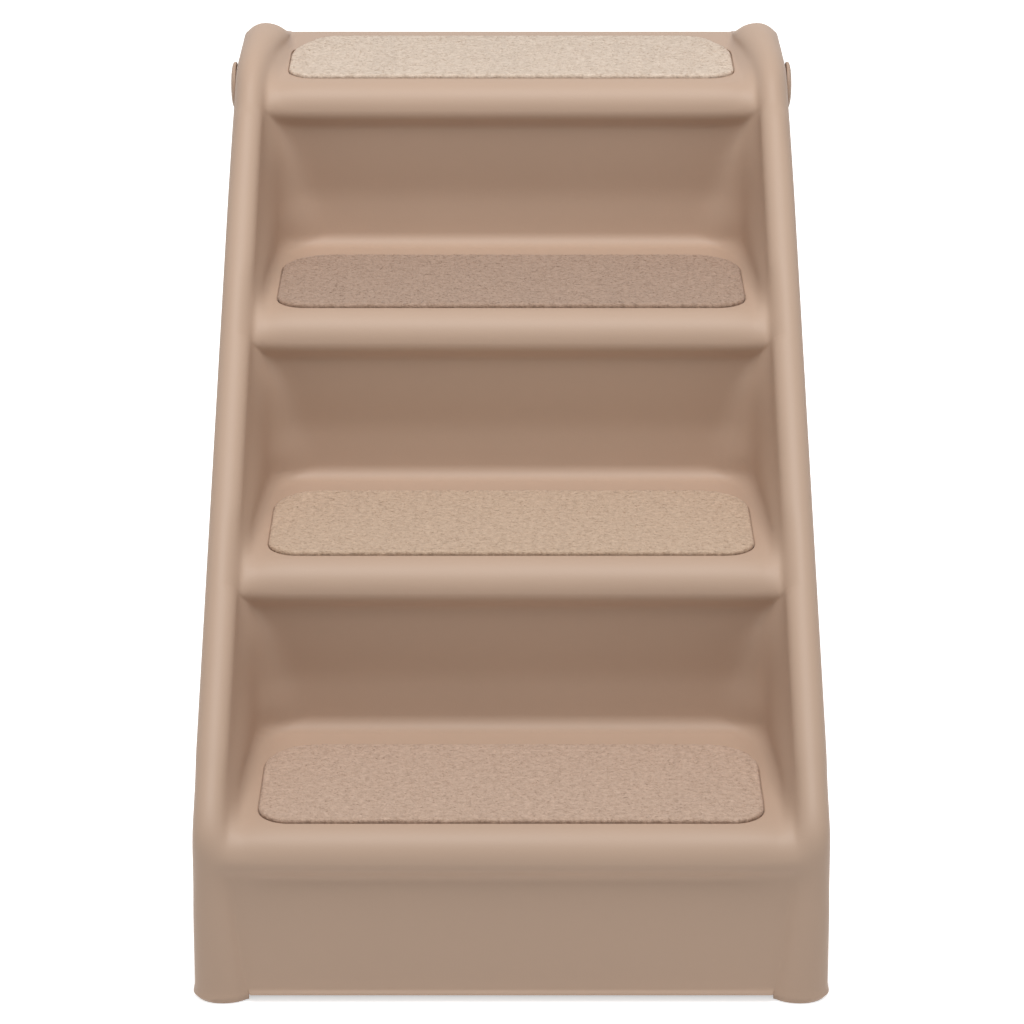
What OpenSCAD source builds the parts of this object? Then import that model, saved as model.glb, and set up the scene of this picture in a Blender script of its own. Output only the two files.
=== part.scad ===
// Folding pet stairs: four carpeted steps moulded in one skin between two side rails,
// a rear leg on domed pivots, and two slotted stays that hold the leg open.
// Millimetres, +Z up. The steps climb from -Y to +Y, and the origin is on the floor
// under the middle of the part.

/* [Steps] */
// Depth from one nosing to the next
step_run = 148; // [130:1:170]
// Height from one tread to the next
step_rise = 118.5; // [100:0.5:130]
// Depth of the top tread, from its nosing to its rear edge
top_tread_l = 158; // [150:1:180]
// Radius of the rounded nosing
nose_r = 22.5; // [18:0.5:25]
// Height of the flat under the nosing's round, which has the same lower radius
nose_lip = 4.5; // [4:0.5:8]
// Undercut of the riser just below the nosing
riser_top_in = 7; // [5:0.5:9]
// Undercut of the riser at its foot
riser_foot_in = 16; // [12:0.5:20]
// Fillet between a tread and the riser behind it
tread_fillet_r = 9; // [6:0.5:12]
// Gap under the lower edge of the front face
front_gap = 3; // [2.5:0.5:6]

/* [Sides] */
// Width over both sides at the floor
foot_w = 399; // [380:1:420]
// Lean of each side towards the middle
side_draft = 0.9; // [0.5:0.1:1.2]
// Wall thickness of the moulded skin
wall = 3.5; // [3:0.1:4]
// Width of a side rail
rail_w = 21; // [18:0.5:24]
// Height of a rail above the line of the nosings
rail_lift = 12; // [10:0.5:14]
// Depth of the side, square to the slope, below the line of the nosings
skirt_depth = 139; // [134:1:150]
// Width of the corner column at the floor
column_w = 35; // [28:0.5:40]
// Set-back of the corner column's foot behind the first nosing
column_in = 6; // [4:0.5:9]
// Height of the humps above the top tread
hump_h = 21; // [18:0.5:24]
// Length of the level top of a hump
hump_l = 70; // [60:1:76]
// Width of a hump at its rear end
hump_w = 32; // [28:0.5:36]
// How much each step narrows from its nosing to the riser, on one side
pocket_narrowing = 10; // [6:0.5:12]
// Radius of the upright corner between a side and a riser
pocket_corner_r = 27; // [20:1:32]
// Depth of the stiffening ribs under the steps
rib_h = 11; // [8:0.5:12]
// Distance of the outer ribs from the middle
rib_x = 92; // [80:1:110]
// Height of the lip that hangs from the rear edge of the top tread
rear_lip_h = 30; // [20:1:34]

/* [Carpet pads] */
// Distance from the end of a carpet pad to the rail beside the first nosing
pad_side = 19.1; // [17:0.1:26]
// Depth of a carpet pad
pad_l = 108.6; // [100:0.2:112]
// Thickness of a carpet pad
pad_t = 4; // [3.2:0.1:5]
// Depth of the recess that a pad lies in
pad_sink = 1.6; // [1:0.1:1.8]
// Gap between a pad and the rim of its recess
pad_gap = 0.5; // [0.4:0.1:0.8]
// Distance from a nosing to the front edge of its pad
pad_front = 22; // [20:0.5:24]
// Corner radius of a pad at its front edge
pad_front_r = 16; // [10:1:20]
// Corner radius of a pad at its rear edge
pad_rear_r = 28; // [20:1:34]

/* [Pivots] */
// Distance of the pivots in front of the rear edge of the top tread
pivot_in = 74; // [70:1:78]
// Depth of the pivots below the top tread
pivot_drop = 22; // [20:0.5:24]
// Radius of the pivot pin's shank
pin_r = 8; // [7:0.5:9]
// Radius of the pin's domed head
head_r = 16.5; // [15:0.5:18]
// Height of the domed head, edge and dome together
head_t = 4; // [3:0.5:5]
// Shadow gap between the head and the boss under it
head_gap = 1.5; // [1:0.1:2]
// Height of the outer boss under the pin's head
boss_t = 2; // [1.5:0.1:3]
// Radial clearance of every pin in its hole
fit = 0.05; // [0.03:0.01:0.08]
// Thickness of the retaining clip on a pivot pin
clip_t = 3.5; // [3:0.5:5]

/* [Rear leg] */
// Distance from a flank of the rear leg out to the outer face of the side, at the pivots
leg_inset = 16.4; // [15.9:0.1:19.4]
// Thickness of the rear leg, front to rear
leg_t = 24; // [20:0.5:25]
// Width of a post
post_w = 30; // [26:1:36]
// Lean of the standing leg towards the rear
leg_lean = 3.8; // [3:0.1:5]
// Distance of the leg's middle plane behind its pivots
leg_offset = 50; // [49:0.5:54]
// Height of the leg's cross bars
bar_h = 44; // [36:1:52]
// Wall thickness of the hollowed posts and bars
leg_wall = 4; // [3:0.5:5]
// Thickness of the ears that reach forward to the pivots
ear_t = 10; // [8:0.5:12]
// Corner radius of the leg's windows
window_r = 18; // [12:1:22]

/* [Stays] */
// Length of a stay between its two centres
stay_l = 206; // [202:1:210]
// Width of a stay
stay_w = 20; // [18:0.5:22]
// Thickness of a stay
stay_t = 5; // [4:0.5:5.5]
// Distance from the pivot to the sliding end of a stay while the leg stands
stay_reach = 207; // [203:1:211]
// Radius of the pin that joins a stay to the leg
stay_pin_r = 5; // [4:0.5:5.5]
// Radius of the stub that slides in the guide
stub_r = 5.5; // [4.5:0.5:6]
// Gap between the leg, the stay and the guide beside it
side_gap = 1; // [0.6:0.1:1.2]
// Wall of the guide on each side of its slot
guide_wall = 3.5; // [3:0.5:4]
// Height of the head on a stay pin
stay_head_t = 2; // [1.5:0.1:3]

/* [Feet] */
// Thickness of the rubber feet
rubber_t = 4; // [3:0.5:5]
// Depth by which the front rubber feet are let into the moulding
rubber_sink = 2.5; // [1:0.5:2.5]
// Thickness of the foot plate inside each side
plate_t = 6; // [5:0.5:8]
// Width of the foot plate and of the rubber foot under it
plate_w = 34; // [28:1:40]

/* [Hidden] */
$fn = 48;
// Degrees between the points of an arc in an outline
arc_angle = 15;
// Overrun of every cut past the surface that it leaves through
over = 2 * wall;

step_count = 4;
slope = atan2(step_rise, step_run);
along = [cos(slope), sin(slope)];
square = [sin(slope), -cos(slope)];
top_z = step_count * step_rise;
top_nose_y = (step_count - 1) * step_run;
rear_y = top_nose_y + top_tread_l;
rail_r = rail_w / 2;
nose_low = nose_r + nose_lip;
nose_h = nose_low + riser_top_in;
hump_z = top_z + hump_h;

// The line of the nosings, as its distance from the front lower corner, square to the slope
nosing_line = [nose_r, step_rise - nose_r] * square - nose_r;
rail_line = nosing_line - rail_lift + rail_r;
skirt_line = nosing_line + skirt_depth;
function height_on(line, y) = (y * square.x - line) / -square.y;
function place_on(line, z) = (line - z * square.y) / square.x;
// Half the width between the outer faces at a height
function half_at(z) = foot_w / 2 - z * tan(side_draft);

// The rail's centre line: column top, front of the hump, rear of the hump, end of the rail
rail_top = [rail_r, height_on(rail_line, rail_r)];
hump_front = [place_on(rail_line, hump_z - rail_r), hump_z - rail_r];
hump_rear = hump_front + [hump_l, 0];
rail_end = [rear_y - rail_r, top_z - wall];
// Where the run-out of the rail's base line meets the level of the top tread
rail_flush = hump_rear + (rail_end - hump_rear) * (hump_rear.y - top_z) / (hump_rear.y - rail_end.y);
column_foot = [column_in + rail_r, 0];

pivot = [rear_y - pivot_in, top_z - pivot_drop];
leg_w = 2 * (half_at(pivot.y) - leg_inset);
pad_w = 2 * (half_at(step_rise) - rail_w - pad_side);
leg_back = leg_offset + leg_t / 2;
overall_l = pivot.x + leg_back * cos(leg_lean)
    + (pivot.y + leg_back * sin(leg_lean)) * tan(leg_lean);
fold_angle = 90 - slope + leg_lean;

// The stays: the angle at the pivot between leg pin and slide, standing and folded
stay_spread = acos(stay_reach / (2 * stay_l));
stay_pin_down = sqrt(stay_l * stay_l - leg_offset * leg_offset);
stay_pin_dir = atan2(leg_offset, stay_pin_down) + leg_lean;
slot_dir = stay_pin_dir - stay_spread;
folded_reach = 2 * stay_l * cos(stay_spread - fold_angle);
stay_pin_at = pivot + stay_l * [sin(stay_pin_dir), -cos(stay_pin_dir)];
slide_at = pivot + stay_reach * [sin(slot_dir), -cos(slot_dir)];

// Places across the part, measured from the middle
stay_x = leg_w / 2 + side_gap;
guide_x = stay_x + stay_t + side_gap;
pivot_face = half_at(pivot.y);
neck_x = pivot_face + boss_t;
boss_r = head_r + side_gap;
head_x = neck_x + head_gap;
post_x = leg_w / 2 - post_w;

function unit(v) = v / norm(v);
function normal(a, b) = let (d = unit(b - a)) [-d.y, d.x];

// Corner b of an outline, rounded between its neighbours a and c
function corner(a, b, c, r) = r <= 0 ? [b] :
    let (u = unit(a - b), w = unit(c - b), half = acos(u * w) / 2)
    let (o = b + unit(u + w) * r / sin(half), side = sign(cross(b - a, c - b)))
    let (first = normal(a, b) * -side, sweep = 180 - 2 * half)
    let (count = max(1, round(sweep / arc_angle)))
    [for (i = [0:count]) let (t = side * sweep * i / count)
        o + r * [first.x * cos(t) - first.y * sin(t), first.x * sin(t) + first.y * cos(t)]];

// An outline with every corner rounded by its own radius
function rounded(p, r) = let (n = len(p)) [for (i = [0:n - 1])
    each corner(p[(i + n - 1) % n], p[i], p[(i + 1) % n], r[i])];

// An outline moved inwards by d, and the radii that keep its arcs concentric
function inset(p, d) = let (n = len(p)) [for (i = [0:n - 1])
    let (a = normal(p[(i + n - 1) % n], p[i]), c = normal(p[i], p[(i + 1) % n]))
    p[i] + (a + c) * d / (1 + a * c)];
function inset_radii(p, r, d) = let (n = len(p)) [for (i = [0:n - 1]) r[i] == 0 ? 0 :
    cross(p[i] - p[(i + n - 1) % n], p[(i + 1) % n] - p[i]) > 0 ? max(r[i] - d, 0) : r[i] + d];

// An open line with its inner corners rounded
function bent(p, r) = [p[0], for (i = [1:len(p) - 2]) each corner(p[i - 1], p[i], p[i + 1], r[i]),
    p[len(p) - 1]];

module inset_shape(p, r, d) polygon(rounded(inset(p, d), inset_radii(p, r, d)));

// Draws an outline of depth and height, and gives it the width w along X from x0
module sideways(x0, w) translate([x0, 0, 0]) rotate([90, 0, 90]) linear_extrude(w) children();

// Moves from the first nosing to the middle of the part
module placed() translate([0, -overall_l / 2, 0]) children();

// The leaning frame of the right side, with its outer face at x = 0
module side_frame() translate([foot_w / 2, 0, 0]) rotate([0, -side_draft, 0]) children();

module both_sides() {
    children();
    mirror([1, 0, 0]) children();
}

// Puts a piece drawn for the right side on the side that is asked for
module on_side(side) {
    if (side > 0) children();
    else mirror([1, 0, 0]) children();
}

// The open air above and before the steps, as an outline of depth and height
air_points = [
    [-top_z, -top_z],
    for (n = [0:step_count - 1]) each [
        [n * step_run + riser_foot_in, n == 0 ? -top_z : n * step_rise],
        [n * step_run + riser_top_in, (n + 1) * step_rise - nose_h],
        [n * step_run, (n + 1) * step_rise - nose_low],
        [n * step_run, (n + 1) * step_rise]],
    [rear_y + top_z, top_z],
    [rear_y + top_z, 2 * top_z],
    [-top_z, 2 * top_z]];
air_radii = [0,
    for (n = [0:step_count - 1]) each [n == 0 ? 0 : tread_fillet_r, tread_fillet_r, nose_lip, nose_r],
    0, 0, 0];

// The plan of the space between the sides at one step, from the nosing before it to its riser
function pocket_points(n) = let (
        y0 = max(n - 1, -1) * step_run - nose_r,
        y1 = n == step_count ? hump_rear.x : n * step_run + riser_foot_in,
        w0 = half_at(max(n, 1) * step_rise) - rail_w,
        w1 = n == step_count ? half_at(hump_z) - hump_w : n == 0 ? w0 : w0 - pocket_narrowing,
        y2 = n == step_count ? rear_y + top_z : y1)
    [[-w0, y0], [w0, y0], [w1, y1], [w1, y2 + nose_r], [-w1, y2 + nose_r], [-w1, y1]];

function pocket_plan(n) = let (p = pocket_points(n))
    n == step_count ? p : [p[0], p[1], p[2], p[5]];

// The spaces between the sides, from the one before the front face to the one over the top tread
module pockets(d) intersection() {
    sideways(-foot_w / 2, foot_w) inset_shape(air_points, air_radii, -d);
    union() for (n = [0:step_count]) {
        plan = pocket_plan(n);
        r = n == 0 || n == step_count ? 0 : pocket_corner_r;
        low = n == 0 ? -top_z : n * step_rise - nose_h;
        translate([0, 0, low - d]) linear_extrude(2 * top_z)
            inset_shape(plan, [for (i = [0:len(plan) - 1]) i < 2 ? 0 : r], -d);
    }
}

// The rail's base line, bent at the column, the front of the hump and the rear of the hump
rail_path = bent([column_foot, rail_top, hump_front, hump_rear, rail_end],
    [0, 2 * rail_r, 2 * rail_w, rail_w, 0]);
function rail_width(p) = p.y < rail_top.y ? lookup(p.y, [[0, column_w], [rail_top.y, rail_w]])
    : lookup(p.x, [[hump_front.x, rail_w], [hump_rear.x, hump_w]]);
function rail_bulge(p) = rail_r * lookup(p.x, [[hump_rear.x, 1], [rail_end.x, fade_share]]);
// Share of its height that the rail keeps where it runs out at the rear
fade_share = 0.15;
// Share of the wall by which the rail's round stays inside the flat of the side
seam_share = 0.05;
rail_sides = 10;

// The rounded rail from the foot of the column to the rear edge, swept along its base line
module rail(d) {
    path = [for (i = [0:len(rail_path) - 1]) i == 0 ? rail_path[0] - [0, over] : rail_path[i]];
    last = len(path) - 1;
    ring = rail_sides + 1;
    points = [for (i = [0:last])
        let (out = normal(path[max(i - 1, 0)], path[min(i + 1, last)]))
        let (w = rail_width(path[i]), bulge = rail_bulge(path[i]) - d)
        for (k = [0:rail_sides])
            let (t = 180 * k / rail_sides, up = k == 0 || k == rail_sides ? -wall : bulge * sin(t))
            let (half = w / 2 - d - wall * seam_share)
            [half * cos(t) - w / 2, path[i].x + out.x * up, path[i].y + out.y * up]];
    walls = [for (i = [0:last - 1], k = [0:ring - 1]) let (
            a = i * ring + k, b = i * ring + (k + 1) % ring, c = a + ring, e = b + ring)
        each [[a, b, e], [a, e, c]]];
    caps = [for (k = [1:ring - 2]) each [[0, k + 1, k],
        [last * ring, last * ring + k, last * ring + k + 1]]];
    side_frame() polyhedron(points, concat(walls, caps));
}

// Share of the rail's radius that rounds the rear edge of the top tread
rear_round_share = 0.8;

// The side of the stairs below its rounded rail
function side_points(depth, floor_z) = let (line = nosing_line + depth) [
    column_foot + [0, floor_z],
    [place_on(line, floor_z), floor_z],
    [rear_y, height_on(line, rear_y)],
    [rear_y, top_z],
    rail_flush,
    for (i = [len(rail_path) - 2:-1:1]) rail_path[i]];
side_radii = [0, nose_r, nose_r, rail_r * rear_round_share, for (p = rail_path) 0];

// The closed form of the stairs, moved inwards by d
module stairs_form(d) {
    depth = d > 0 ? skirt_depth + d + over : skirt_depth;
    low = -d - over;
    side = d / cos(side_draft);
    difference() {
        intersection() {
            sideways(-foot_w / 2 - over, foot_w + 2 * over)
                inset_shape(side_points(depth, low), side_radii, d);
            translate([0, rear_y + over, 0]) rotate([90, 0, 0]) linear_extrude(rear_y + 2 * over)
                polygon([[side - half_at(2 * low), 2 * low], [half_at(2 * low) - side, 2 * low],
                    [half_at(hump_z) - side, hump_z], [side - half_at(hump_z), hump_z]]);
        }
        pockets(d);
    }
    both_sides() rail(d);
    front_face(d);
}

// The front face and the first nosing, which stand before the base line of the rails
module front_face(d) {
    w = half_at(step_rise) - rail_w + wall / 2 - d;
    low = -d - over;
    depth = column_foot.x + nose_r;
    difference() {
        sideways(-w, 2 * w)
            polygon([[-over, low], [depth, low], [depth, step_rise + over], [-over, step_rise + over]]);
        sideways(-foot_w / 2, foot_w) inset_shape(air_points, air_radii, -d);
    }
}

// Ribs that follow the underside of the steps, kept clear of the folded leg
rib_points = [
    [-top_z, -top_z],
    for (n = [0:step_count - 1]) each [
        [n * step_run + riser_foot_in, n == 0 ? -top_z : n * step_rise],
        [n * step_run + riser_top_in, (n + 1) * step_rise]],
    [rear_y + top_z, top_z],
    [rear_y + top_z, 2 * top_z],
    [-top_z, 2 * top_z]];
rib_radii = [for (i = [0:len(rib_points) - 1])
    i > 1 && i < 2 * step_count + 1 && i % 2 == 1 ? tread_fillet_r : 0];
rib_line = [step_run + riser_foot_in, step_rise] * square;

module ribs() intersection() {
    for (x = [-rib_x, 0, rib_x]) sideways(x - wall / 2, wall)
        inset_shape(rib_points, rib_radii, -wall - rib_h);
    sideways(-foot_w / 2, foot_w) polygon([
        [-top_z, height_on(rib_line, -top_z)],
        [pivot.x, height_on(rib_line, pivot.x)],
        [pivot.x, 2 * top_z],
        [-top_z, 2 * top_z]]);
}

// The recess of a carpet pad, or the pad itself
function pad_points(n) = let (y = n * step_run + pad_front, w = pad_w / 2)
    [[-w, y], [w, y], [w, y + pad_l], [-w, y + pad_l]];
pad_radii = [pad_front_r, pad_front_r, pad_rear_r, pad_rear_r];

module pad_block(n, d, z0, z1) translate([0, 0, n * step_rise + step_rise + z0])
    linear_extrude(z1 - z0) inset_shape(pad_points(n), pad_radii, d);

// The foot plate that joins a side to its rubber foot
plate_y0 = column_foot.x;
plate_y1 = place_on(skirt_line, plate_t);
plate_x1 = half_at(0) - wall;
plate_x0 = plate_x1 - plate_w;
sole_z = rubber_t - rubber_sink;

module foot_plan(d) {
    points = [[plate_x0, plate_y0], [plate_x1, plate_y0], [plate_x1, plate_y1], [plate_x0, plate_y1]];
    inset_shape(points, [plate_t, plate_t, plate_t, plate_t], d);
}

// What the hollow under the steps leaves standing: ribs, foot plates and pivot bosses
module inner_walls() {
    ribs();
    both_sides() {
        translate([plate_x0, -over, -2 * over])
            cube([foot_w / 2, plate_y1 + over, 2 * over + sole_z + plate_t]);
        sideways(stay_x, foot_w / 2 - stay_x) translate(pivot) circle(boss_r);
    }
}

module stair_shell() placed() color([0.76, 0.66, 0.58]) difference() {
    union() {
        difference() {
            stairs_form(0);
            difference() {
                stairs_form(wall);
                inner_walls();
            }
        }
        both_sides() sideways(pivot_face - wall / 2, boss_t + wall / 2) translate(pivot) circle(boss_r);
    }
    both_sides() sideways(stay_x - over, neck_x) translate(pivot) circle(pin_r + fit);
    for (n = [0:step_count - 1]) pad_block(n, -pad_gap, -pad_sink, over);
    translate([-foot_w, -over, -top_z]) cube([2 * foot_w, overall_l, top_z + sole_z]);
    translate([-guide_x, rear_y - nose_r, 0]) cube([2 * guide_x, nose_r + over, top_z - rear_lip_h]);
    translate([-half_at(0) + column_w, -over, -over])
        cube([2 * half_at(0) - 2 * column_w, column_foot.x + over, over + front_gap]);
    both_sides() translate([0, 0, -over]) linear_extrude(over + rubber_t) foot_plan(plate_t / 2 - fit);
}

// The leg's own frame at rest: x across, y behind the pivots, z up along the leg
module leg_frame() placed() translate([0, pivot.x, pivot.y]) rotate([leg_lean, 0, 0]) children();

leg_top = pin_r;
leg_drop = pivot.y / cos(leg_lean) + leg_back * tan(leg_lean);
function bars() = [
    [leg_top - bar_h, leg_top],
    [-stay_pin_down - bar_h / 2, -stay_pin_down + bar_h / 2],
    [-leg_drop + bar_h / 2, -leg_drop + 3 * bar_h / 2]];

// The flat frame of the leg, drawn in x and z
module leg_plan(d) {
    w = leg_w / 2;
    b = bars();
    difference() {
        inset_shape([[-w, -leg_drop - over], [w, -leg_drop - over], [w, leg_top], [-w, leg_top]],
            [0, 0, window_r, window_r], d);
        for (i = [0:len(b) - 2]) {
            z0 = b[i + 1].y;
            z1 = b[i].x;
            inset_shape([[-post_x, z0], [post_x, z0], [post_x, z1], [-post_x, z1]],
                [window_r, window_r, window_r, window_r], -d);
        }
        inset_shape([[-post_x, -leg_drop - 2 * over], [post_x, -leg_drop - 2 * over],
            [post_x, b[2].x], [-post_x, b[2].x]], [0, 0, window_r, window_r], -d);
    }
}

module rear_leg() difference() {
    leg_frame() color([0.72, 0.62, 0.54]) difference() {
        union() {
            difference() {
                translate([0, leg_back, 0]) rotate([90, 0, 0]) linear_extrude(leg_t) leg_plan(0);
                translate([0, leg_back - leg_wall, 0]) rotate([90, 0, 0]) linear_extrude(leg_t)
                    leg_plan(leg_wall);
            }
            both_sides() {
                sideways(leg_w / 2 - ear_t, ear_t) {
                    circle(head_r);
                    ear = [[0, -head_r], [leg_back - leg_t / 2, -bar_h], [leg_back - leg_t / 2, leg_top],
                        [0, head_r]];
                    polygon(ear);
                }
                sideways(post_x, post_w) translate([leg_offset, -stay_pin_down])
                    circle(stay_pin_r + leg_wall);
                translate([post_x, leg_offset - leg_t / 2, -leg_drop - over])
                    cube([post_w, leg_t, over + rubber_t + plate_t]);
            }
        }
        both_sides() sideways(leg_w / 2 - ear_t - over, ear_t + 2 * over) circle(pin_r + fit);
        both_sides() sideways(post_x - over, post_w + 2 * over)
            translate([leg_offset, -stay_pin_down]) circle(stay_pin_r + fit);
    }
    translate([-foot_w, -overall_l, -top_z]) cube([2 * foot_w, 2 * overall_l, top_z + rubber_t]);
}

// A stay, drawn with its leg pin at the origin and its slide straight along -Y
module stay(side) {
    reach = slide_at - stay_pin_at;
    tilt = atan2(-reach.y, -reach.x);
    placed() on_side(side) color([0.66, 0.57, 0.5])
        translate([0, stay_pin_at.x, stay_pin_at.y]) rotate([tilt, 0, 0]) difference() {
            union() {
                sideways(stay_x, stay_t) {
                    circle(stay_w / 2);
                    translate([-stay_l, 0]) circle(stay_w / 2);
                    translate([-stay_l, -stay_w / 2]) square([stay_l, stay_w]);
                }
                sideways(stay_x, guide_x + stub_l - stay_x) translate([-stay_l, 0]) circle(stub_r);
            }
            sideways(stay_x - over, stay_t + 2 * over) circle(stay_pin_r + fit);
            for (i = [0, 1]) translate([stay_x - side_gap, 0, 0]) sideways(0, side_gap + stay_t / 3) {
                x0 = -stay_l + stay_w / 2;
                translate([x0 + i * (stay_l - stay_w) / 2 + stay_w / 4, -stay_w / 4])
                    square([(stay_l - stay_w) / 2 - stay_w / 2, stay_w / 2]);
            }
        }
}
stub_l = (half_at(slide_at.y) - wall - guide_x) / 2;

// The pin that joins a stay to its post
module stay_pin(side) placed() on_side(side)
    color([0.6, 0.6, 0.62]) translate([0, stay_pin_at.x, stay_pin_at.y]) {
        sideways(post_x, stay_x + stay_t + side_gap / 2 - post_x) circle(stay_pin_r);
        sideways(stay_x + stay_t + side_gap / 2, stay_head_t) circle(stay_pin_r + stay_head_t);
    }

// The slotted guide inside a side, on the line from the pivot that the slide follows
module guide(side) placed() on_side(side) color([0.7, 0.61, 0.53])
    intersection() {
        translate([0, pivot.x, pivot.y]) rotate([slot_dir, 0, 0]) difference() {
            w = stub_r + guide_wall;
            sideways(guide_x, foot_w / 2 - guide_x) {
                translate([-w, -folded_reach]) square([2 * w, folded_reach - stay_reach]);
                translate([0, -folded_reach]) circle(w);
                translate([0, -stay_reach]) circle(w);
            }
            slot = stub_r + fit;
            sideways(guide_x - over, over + 2 * stub_l - guide_wall / 4) {
                translate([-slot, -folded_reach]) square([2 * slot, folded_reach - stay_reach]);
                translate([0, -folded_reach]) circle(slot);
                translate([0, -stay_reach]) circle(slot);
            }
        }
        side_frame() translate([-foot_w - wall, 0, 0]) cube([foot_w, overall_l, top_z]);
    }

module pivot_pin(side) placed() on_side(side)
    color([0.74, 0.64, 0.56]) translate([0, pivot.x, pivot.y]) rotate([0, 90, 0]) {
        inner = leg_w / 2 - ear_t - side_gap / 2 - clip_t - clip_t / 2;
        translate([0, 0, inner]) cylinder(h = head_x - inner, r = pin_r);
        translate([0, 0, neck_x]) cylinder(h = head_gap, r = pin_r + wall);
        dome = head_t * dome_share;
        ball = (head_r * head_r + dome * dome) / (2 * dome);
        translate([0, 0, head_x]) intersection() {
            cylinder(h = head_t, r = head_r);
            translate([0, 0, head_t - ball]) sphere(ball, $fn = 96);
        }
    }
// Share of the head's height that is dome
dome_share = 0.6;

// The ring pressed on the inner end of a pivot pin
module pivot_clip(side) placed() on_side(side)
    color([0.35, 0.34, 0.33]) sideways(leg_w / 2 - ear_t - side_gap / 2 - clip_t, clip_t)
        translate(pivot) difference() {
            circle(pin_r + clip_t);
            circle(pin_r + fit);
        }

module carpet_pad(n) placed() color([0.8, 0.72, 0.65]) pad_block(n, 0, -pad_sink, pad_t - pad_sink);

module front_foot(side) placed() on_side(side)
    color([0.2, 0.19, 0.18]) linear_extrude(rubber_t) foot_plan(plate_t / 2);

module rear_foot(side) leg_frame() on_side(side)
    color([0.2, 0.19, 0.18]) intersection() {
        translate([post_x, leg_offset - leg_t / 2, -leg_drop - over]) cube([post_w, leg_t, 2 * over]);
        rotate([-leg_lean, 0, 0]) translate([0, -foot_w, -pivot.y]) cube([foot_w, 2 * foot_w, rubber_t]);
    }

stair_shell();
rear_leg();
stay(-1);  // stay_left
stay(1);  // stay_right
stay_pin(-1);  // stay_pin_left
stay_pin(1);  // stay_pin_right
guide(-1);  // guide_left
guide(1);  // guide_right
pivot_pin(-1);  // pivot_pin_left
pivot_pin(1);  // pivot_pin_right
pivot_clip(-1);  // pivot_clip_left
pivot_clip(1);  // pivot_clip_right
carpet_pad(0);  // carpet_pad_1
carpet_pad(1);  // carpet_pad_2
carpet_pad(2);  // carpet_pad_3
carpet_pad(3);  // carpet_pad_4
front_foot(-1);  // front_foot_left
front_foot(1);  // front_foot_right
rear_foot(-1);  // rear_foot_left
rear_foot(1);  // rear_foot_right
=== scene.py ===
import math

import bmesh
import bpy
import numpy as np
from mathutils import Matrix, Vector


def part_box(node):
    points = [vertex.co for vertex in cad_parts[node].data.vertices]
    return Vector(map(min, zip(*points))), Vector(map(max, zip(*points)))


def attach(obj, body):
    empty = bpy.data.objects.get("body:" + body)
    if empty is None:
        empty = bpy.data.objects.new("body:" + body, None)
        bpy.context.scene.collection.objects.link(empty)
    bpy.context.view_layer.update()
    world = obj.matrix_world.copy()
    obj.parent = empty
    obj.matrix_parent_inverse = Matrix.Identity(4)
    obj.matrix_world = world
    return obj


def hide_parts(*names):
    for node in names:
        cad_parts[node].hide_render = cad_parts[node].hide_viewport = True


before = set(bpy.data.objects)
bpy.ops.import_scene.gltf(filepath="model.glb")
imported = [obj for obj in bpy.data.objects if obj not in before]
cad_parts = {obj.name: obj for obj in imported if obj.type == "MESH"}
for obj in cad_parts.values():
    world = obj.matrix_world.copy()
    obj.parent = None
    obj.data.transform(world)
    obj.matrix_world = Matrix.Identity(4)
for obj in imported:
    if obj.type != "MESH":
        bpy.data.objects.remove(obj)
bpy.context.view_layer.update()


# The studio: a round sheet of white paper on the floor under one large soft box overhead.
# The camera stands high before the steps and looks down on them, square to the middle.
scene = bpy.context.scene
scene.view_settings.view_transform = "Standard"


def placed(name, data):
    """A new object of the scene, at the origin and unturned."""
    obj = bpy.data.objects.new(name, data)
    scene.collection.objects.link(obj)
    return obj


def piece_from(name, bm):
    """A mesh that was built point by point, as a new object."""
    mesh = bpy.data.meshes.new(name)
    bm.to_mesh(mesh)
    bm.free()
    return placed(name, mesh)


def add(tree, kind, values=None, **settings):
    """A new node in a tree, with its settings and then the values of its inputs."""
    node = tree.nodes.new(kind)
    for name, setting in settings.items():
        setattr(node, name, setting)
    for entry, value in (values or {}).items():
        node.inputs[entry].default_value = value
    return node


def wire(tree, *links):
    """Joins nodes: each link is a node and its output, then a node and its input."""
    for source, output, target, entry in links:
        tree.links.new(source.outputs[output], target.inputs[entry])


camera_data = bpy.data.cameras.new("studio_camera")
camera_data.sensor_width = 36.0
camera_data.lens = 129.26
camera_data.shift_x = 0.0007
camera_data.shift_y = -0.0065
camera_data.clip_end = 40.0
camera = placed("studio_camera", camera_data)
camera.location = (0.0, -2.3338, 1.1476)
camera.rotation_euler = (math.radians(90.0 - 21.77), 0.0, 0.0)
scene.camera = camera

box_data = bpy.data.lights.new("overhead_box", "AREA")
box_data.shape = "RECTANGLE"
box_data.size = 2.0
box_data.size_y = 1.2
box_data.energy = 43.0
overhead_box = placed("overhead_box", box_data)
overhead_box.location = (0.0, -0.75, 2.35)
aim = Vector((0.0, 0.0, 0.25)) - overhead_box.location
overhead_box.rotation_euler = aim.to_track_quat("-Z", "Y").to_euler()


def white_for_lens(tree):
    """A mask: 1 for what the lens, a gloss or a clear part sees, and 0 for the light itself."""
    rays = add(tree, "ShaderNodeLightPath")
    seen = add(tree, "ShaderNodeMath", operation="MAXIMUM")
    clear = add(tree, "ShaderNodeMath", operation="MAXIMUM")
    wire(tree, (rays, "Is Camera Ray", seen, 0), (rays, "Is Glossy Ray", seen, 1),
         (seen, 0, clear, 0), (rays, "Is Transmission Ray", clear, 1))
    return clear


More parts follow.
